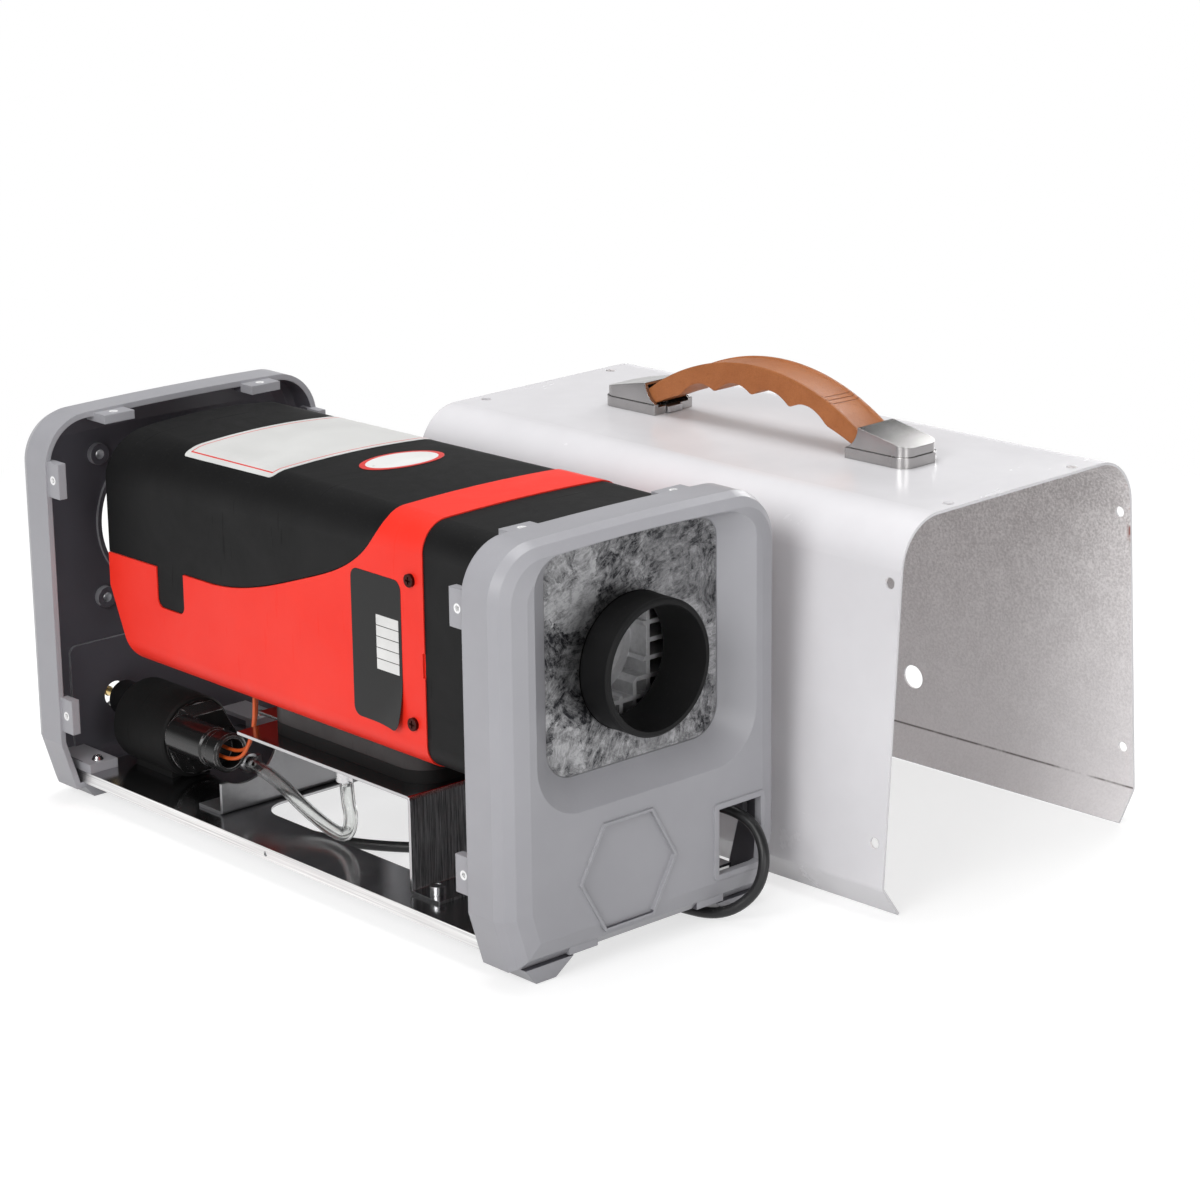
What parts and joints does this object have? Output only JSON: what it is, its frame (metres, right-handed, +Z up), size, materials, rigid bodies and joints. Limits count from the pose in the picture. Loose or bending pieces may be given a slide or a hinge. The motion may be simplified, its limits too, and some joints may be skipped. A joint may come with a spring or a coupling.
{
  "type": "diesel air heater",
  "caption": "Portable diesel air heater in a grey and red case, its white sheet cover with a strap handle lifted off and standing beside it.",
  "frame": {"origin": "on the floor, under the middle of the heater's base plate", "axes": "+Y from the warm-air outlet towards the air intake, +Z up, +X towards the lifted-off cover"},
  "size_m": [0.3549, 0.5055, 0.2121],
  "materials": {
    "bearing_bronze": "satin",
    "black_plastic": "matte",
    "black_rubber": "matte",
    "brass": "satin",
    "brown_grip": "grained",
    "cable_jacket": "satin",
    "cast_aluminium": "cast",
    "clear_hose": "clear",
    "copper_winding": "satin",
    "grey_abs": "satin",
    "handle_metal": "satin",
    "magnet": "matte",
    "orange_wire": "satin",
    "red_plastic": "satin",
    "screw_steel": "satin",
    "steel": "satin",
    "white_connector": "satin",
    "white_paint": "gloss",
    "zinc_sheet": "spangled"
  },
  "bodies": {
    "heater": {"front_panel": "grey_abs", "rear_panel": "grey_abs", "outlet_plate": "zinc_sheet", "outlet_nozzle": "black_plastic", "front_collar": "black_plastic", "upper_shell": "black_plastic", "lower_shell": "red_plastic", "shell_screws": "screw_steel", "intake_grille": "black_plastic", "heat_exchanger": "cast_aluminium", "burner_tube": "steel", "glow_plug": "steel", "overheat_sensor": "brass", "combustion_housing": "cast_aluminium", "motor_can": "steel", "motor_bearings": "bearing_bronze", "motor_magnets": "magnet", "control_unit": "black_plastic", "base_gasket": "black_rubber", "heater_deck": "zinc_sheet", "rear_leg": "zinc_sheet", "base_plate": "zinc_sheet", "deck_bolts": "screw_steel", "deck_rivets": "screw_steel", "panel_screws": "screw_steel", "heater_studs": "screw_steel", "stud_nuts": "screw_steel", "exhaust_stub": "steel", "air_stub": "cast_aluminium", "fuel_stub": "steel", "pump_sleeve": "black_rubber", "pump_body": "steel", "pump_head": "black_plastic", "pump_outlet": "steel", "pump_inlet": "brass", "pump_wires": "orange_wire", "wire_grommet": "black_rubber", "fuel_hose": "clear_hose", "hose_clips": "screw_steel", "cable_gland": "black_rubber", "power_cable": "cable_jacket", "cable_coil": "cable_jacket", "cable_plug": "white_connector"},
    "rotor": {"motor_shaft": "steel", "motor_armature": "copper_winding", "warm_air_impeller": "black_plastic", "combustion_impeller": "cast_aluminium"},
    "cover": {"outer_cover": "white_paint", "handle_base_front": "handle_metal", "handle_base_rear": "handle_metal", "handle_cap_front": "handle_metal", "handle_cap_rear": "handle_metal", "cap_screws": "screw_steel", "handle_grip": "brown_grip"},
    "tongue_front": {"handle_tongue_front": "steel"},
    "tongue_rear": {"handle_tongue_rear": "steel"}
  },
  "joints": [
    {"name": "fan_spin", "type": "hinge", "parent": "heater", "child": "rotor", "pos_m": [0, 0.05, 0.1275], "axis": [0, 1, 0], "continuous": true},
    {"name": "cover_lift", "type": "slide", "parent": "heater", "child": "cover", "axis": [0, 0, 1], "range_m": [0, 0.2]},
    {"name": "strap_flatten", "type": "slide", "parent": "cover", "child": "tongue_rear", "axis": [-0.0419, 0.9991, 0], "range_m": [0, 0.008], "deforming": ["handle_grip"]},
    {"name": "strap_flatten_front", "type": "slide", "parent": "cover", "child": "tongue_front", "axis": [0.0419, -0.9991, 0], "range_m": [0, 0.008]}
  ],
  "couplings": [
    {"joint": "strap_flatten_front", "follows": "strap_flatten", "ratio": 1}
  ]
}
